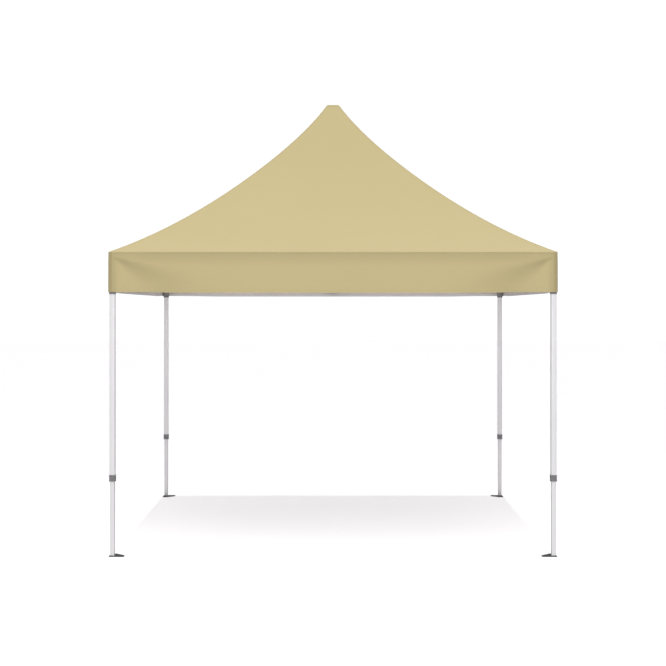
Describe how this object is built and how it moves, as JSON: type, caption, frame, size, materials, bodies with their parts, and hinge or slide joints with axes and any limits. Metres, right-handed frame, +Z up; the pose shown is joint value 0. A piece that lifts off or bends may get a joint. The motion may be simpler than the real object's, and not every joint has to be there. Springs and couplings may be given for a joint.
{
  "type": "folding marquee tent",
  "caption": "Square folding marquee tent: peaked fabric roof with a hanging valance, scissor trusses, central mast and telescopic legs on foot plates.",
  "frame": {"origin": "on the ground, at the middle of the four legs", "axes": "+Z up, -Y towards the front, +X to the right of a viewer who faces the front"},
  "size_m": [3, 3, 3.234],
  "materials": {
    "canopy_fabric": "coated polyester in sand beige",
    "white_lacquer": "satin white powder coat on aluminium",
    "grey_moulding": "fine-grained grey nylon",
    "dark_plate_paint": "satin dark grey paint on steel"
  },
  "bodies": {
    "frame": {"upper_leg_front_left": "white_lacquer", "leg_collar_front_left": "grey_moulding", "slider_bracket_front_left": "grey_moulding", "corner_bracket_front_left": "grey_moulding", "upper_leg_front_right": "white_lacquer", "leg_collar_front_right": "grey_moulding", "slider_bracket_front_right": "grey_moulding", "corner_bracket_front_right": "grey_moulding", "upper_leg_back_right": "white_lacquer", "leg_collar_back_right": "grey_moulding", "slider_bracket_back_right": "grey_moulding", "corner_bracket_back_right": "grey_moulding", "upper_leg_back_left": "white_lacquer", "leg_collar_back_left": "grey_moulding", "slider_bracket_back_left": "grey_moulding", "corner_bracket_back_left": "grey_moulding", "roof_panel_front": "canopy_fabric", "valance_front": "canopy_fabric", "side_truss_front": "white_lacquer", "inner_truss_front": "white_lacquer", "roof_panel_right": "canopy_fabric", "valance_right": "canopy_fabric", "side_truss_right": "white_lacquer", "inner_truss_right": "white_lacquer", "roof_panel_back": "canopy_fabric", "valance_back": "canopy_fabric", "side_truss_back": "white_lacquer", "inner_truss_back": "white_lacquer", "roof_panel_left": "canopy_fabric", "valance_left": "canopy_fabric", "side_truss_left": "white_lacquer", "inner_truss_left": "white_lacquer", "mast": "white_lacquer", "mast_cap": "grey_moulding", "mast_hub_upper": "grey_moulding", "mast_hub_lower": "grey_moulding"},
    "leg_front_left": {"lower_leg_front_left": "white_lacquer", "foot_plate_front_left": "dark_plate_paint"},
    "leg_front_right": {"lower_leg_front_right": "white_lacquer", "foot_plate_front_right": "dark_plate_paint"},
    "leg_back_right": {"lower_leg_back_right": "white_lacquer", "foot_plate_back_right": "dark_plate_paint"},
    "leg_back_left": {"lower_leg_back_left": "white_lacquer", "foot_plate_back_left": "dark_plate_paint"}
  },
  "joints": [
    {"name": "leg_slide_front_left", "type": "slide", "parent": "frame", "child": "leg_front_left", "axis": [0, 0, 1], "range_m": [0, 0.48]},
    {"name": "leg_slide_front_right", "type": "slide", "parent": "frame", "child": "leg_front_right", "axis": [0, 0, 1], "range_m": [0, 0.48]},
    {"name": "leg_slide_back_right", "type": "slide", "parent": "frame", "child": "leg_back_right", "axis": [0, 0, 1], "range_m": [0, 0.48]},
    {"name": "leg_slide_back_left", "type": "slide", "parent": "frame", "child": "leg_back_left", "axis": [0, 0, 1], "range_m": [0, 0.48]}
  ]
}
